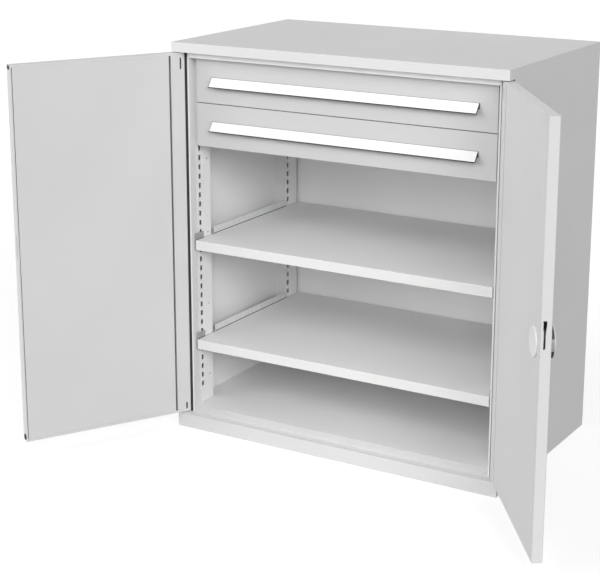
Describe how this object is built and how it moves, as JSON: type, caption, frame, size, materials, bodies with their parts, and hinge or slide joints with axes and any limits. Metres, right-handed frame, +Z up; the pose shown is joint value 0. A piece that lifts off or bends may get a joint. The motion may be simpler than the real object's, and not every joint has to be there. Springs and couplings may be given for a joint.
{
  "type": "two-door tool cabinet with drawers and shelves",
  "caption": "Free-standing sheet steel tool cabinet with hinged doors on both sides, drawers at the top and hanging shelves below.",
  "frame": {"origin": "on the floor, under the middle of the body, at the foot of the channel that carries the floor", "axes": "+X to the right as seen from the front, +Y to the back, +Z up"},
  "size_m": [1.3682, 0.9138, 1],
  "materials": {
    "body_paint": "smooth satin powder coat, light grey",
    "shelf_paint": "smooth satin powder coat, off-white",
    "grip_paint": "smooth white coat",
    "zinc": "zinc-plated, satin",
    "black_plastic": "fine grained, matt",
    "light_plastic": "smooth, light grey"
  },
  "bodies": {
    "cabinet": {"top_panel": "body_paint", "top_rail": "body_paint", "plinth": "body_paint", "floor_panel": "body_paint", "floor_support": "zinc", "rear_base_rail": "body_paint", "back_panel": "body_paint", "left_side_panel": "body_paint", "right_side_panel": "body_paint", "left_stile": "body_paint", "right_stile": "body_paint", "front_left_post": "body_paint", "front_right_post": "body_paint", "rear_left_post": "body_paint", "rear_right_post": "body_paint", "upper_shelf": "shelf_paint", "lower_shelf": "shelf_paint", "upper_left_hanger": "zinc", "upper_right_hanger": "zinc", "lower_left_hanger": "zinc", "lower_right_hanger": "zinc", "hinge_pins": "zinc", "upper_fixed_runners": "zinc", "lower_fixed_runners": "zinc"},
    "left_door": {"left_door_shell": "body_paint", "left_door_liner": "body_paint", "left_hinge_strip": "body_paint", "door_plugs": "black_plastic", "left_hinge_bushes": "black_plastic"},
    "right_door": {"right_door_shell": "body_paint", "right_door_liner": "body_paint", "right_hinge_strip": "body_paint", "right_hinge_bushes": "black_plastic", "lock_dish": "light_plastic", "lock_cap": "light_plastic", "lock_case": "zinc", "rod_guides": "black_plastic"},
    "handle": {"lock_handle": "light_plastic", "lock_cam": "zinc"},
    "key_cylinder": {"lock_cylinder": "zinc"},
    "upper_locking_rod": {"upper_rod": "zinc"},
    "lower_locking_rod": {"lower_rod": "zinc"},
    "bolt": {"lock_bolt": "black_plastic"},
    "upper_drawer": {"upper_drawer_front": "body_paint", "upper_drawer_tray": "body_paint", "upper_drawer_grip": "grip_paint", "upper_drawer_runners": "zinc"},
    "lower_drawer": {"lower_drawer_front": "body_paint", "lower_drawer_tray": "body_paint", "lower_drawer_grip": "grip_paint", "lower_drawer_runners": "zinc"},
    "upper_middle": {"upper_middle_runners": "zinc"},
    "lower_middle": {"lower_middle_runners": "zinc"}
  },
  "joints": [
    {"name": "left_door_hinge", "type": "hinge", "parent": "cabinet", "child": "left_door", "pos_m": [-0.438, -0.2575, 0.5], "axis": [0, 0, -1], "range_deg": [-119.5, 60.5]},
    {"name": "right_door_hinge", "type": "hinge", "parent": "cabinet", "child": "right_door", "pos_m": [0.438, -0.2575, 0.5], "axis": [0, 0, 1], "range_deg": [-125.5, 54.5]},
    {"name": "upper_drawer_slide", "type": "slide", "parent": "cabinet", "child": "upper_drawer", "axis": [0, -1, 0], "range_m": [0, 0.43]},
    {"name": "lower_drawer_slide", "type": "slide", "parent": "cabinet", "child": "lower_drawer", "axis": [0, -1, 0], "range_m": [0, 0.43]},
    {"name": "upper_middle_slide", "type": "slide", "parent": "cabinet", "child": "upper_middle", "axis": [0, -1, 0], "range_m": [0, 0.215]},
    {"name": "lower_middle_slide", "type": "slide", "parent": "cabinet", "child": "lower_middle", "axis": [0, -1, 0], "range_m": [0, 0.215]},
    {"name": "handle_turn", "type": "hinge", "parent": "right_door", "child": "handle", "pos_m": [0.67873, -0.55194, 0.503], "axis": [0.8141, 0.5807, 0], "range_deg": [0, 90]},
    {"name": "key_turn", "type": "hinge", "parent": "handle", "child": "key_cylinder", "pos_m": [0.67873, -0.55194, 0.503], "axis": [0.8141, 0.5807, 0], "range_deg": [0, 90]},
    {"name": "upper_rod_slide", "type": "slide", "parent": "right_door", "child": "upper_locking_rod", "axis": [0, 0, 1], "range_m": [0, 0.0184]},
    {"name": "lower_rod_slide", "type": "slide", "parent": "right_door", "child": "lower_locking_rod", "axis": [0, 0, -1], "range_m": [0, 0.0184]},
    {"name": "bolt_slide", "type": "slide", "parent": "right_door", "child": "bolt", "axis": [0.5807, -0.8141, 0], "range_m": [0, 0.0184]}
  ],
  "couplings": [
    {"joint": "upper_middle_slide", "follows": "upper_drawer_slide", "ratio": 0.5},
    {"joint": "lower_middle_slide", "follows": "lower_drawer_slide", "ratio": 0.5},
    {"joint": "upper_rod_slide", "follows": "handle_turn", "m_per_rad": 0.011704},
    {"joint": "lower_rod_slide", "follows": "handle_turn", "m_per_rad": 0.011704},
    {"joint": "bolt_slide", "follows": "handle_turn", "m_per_rad": 0.011704}
  ]
}
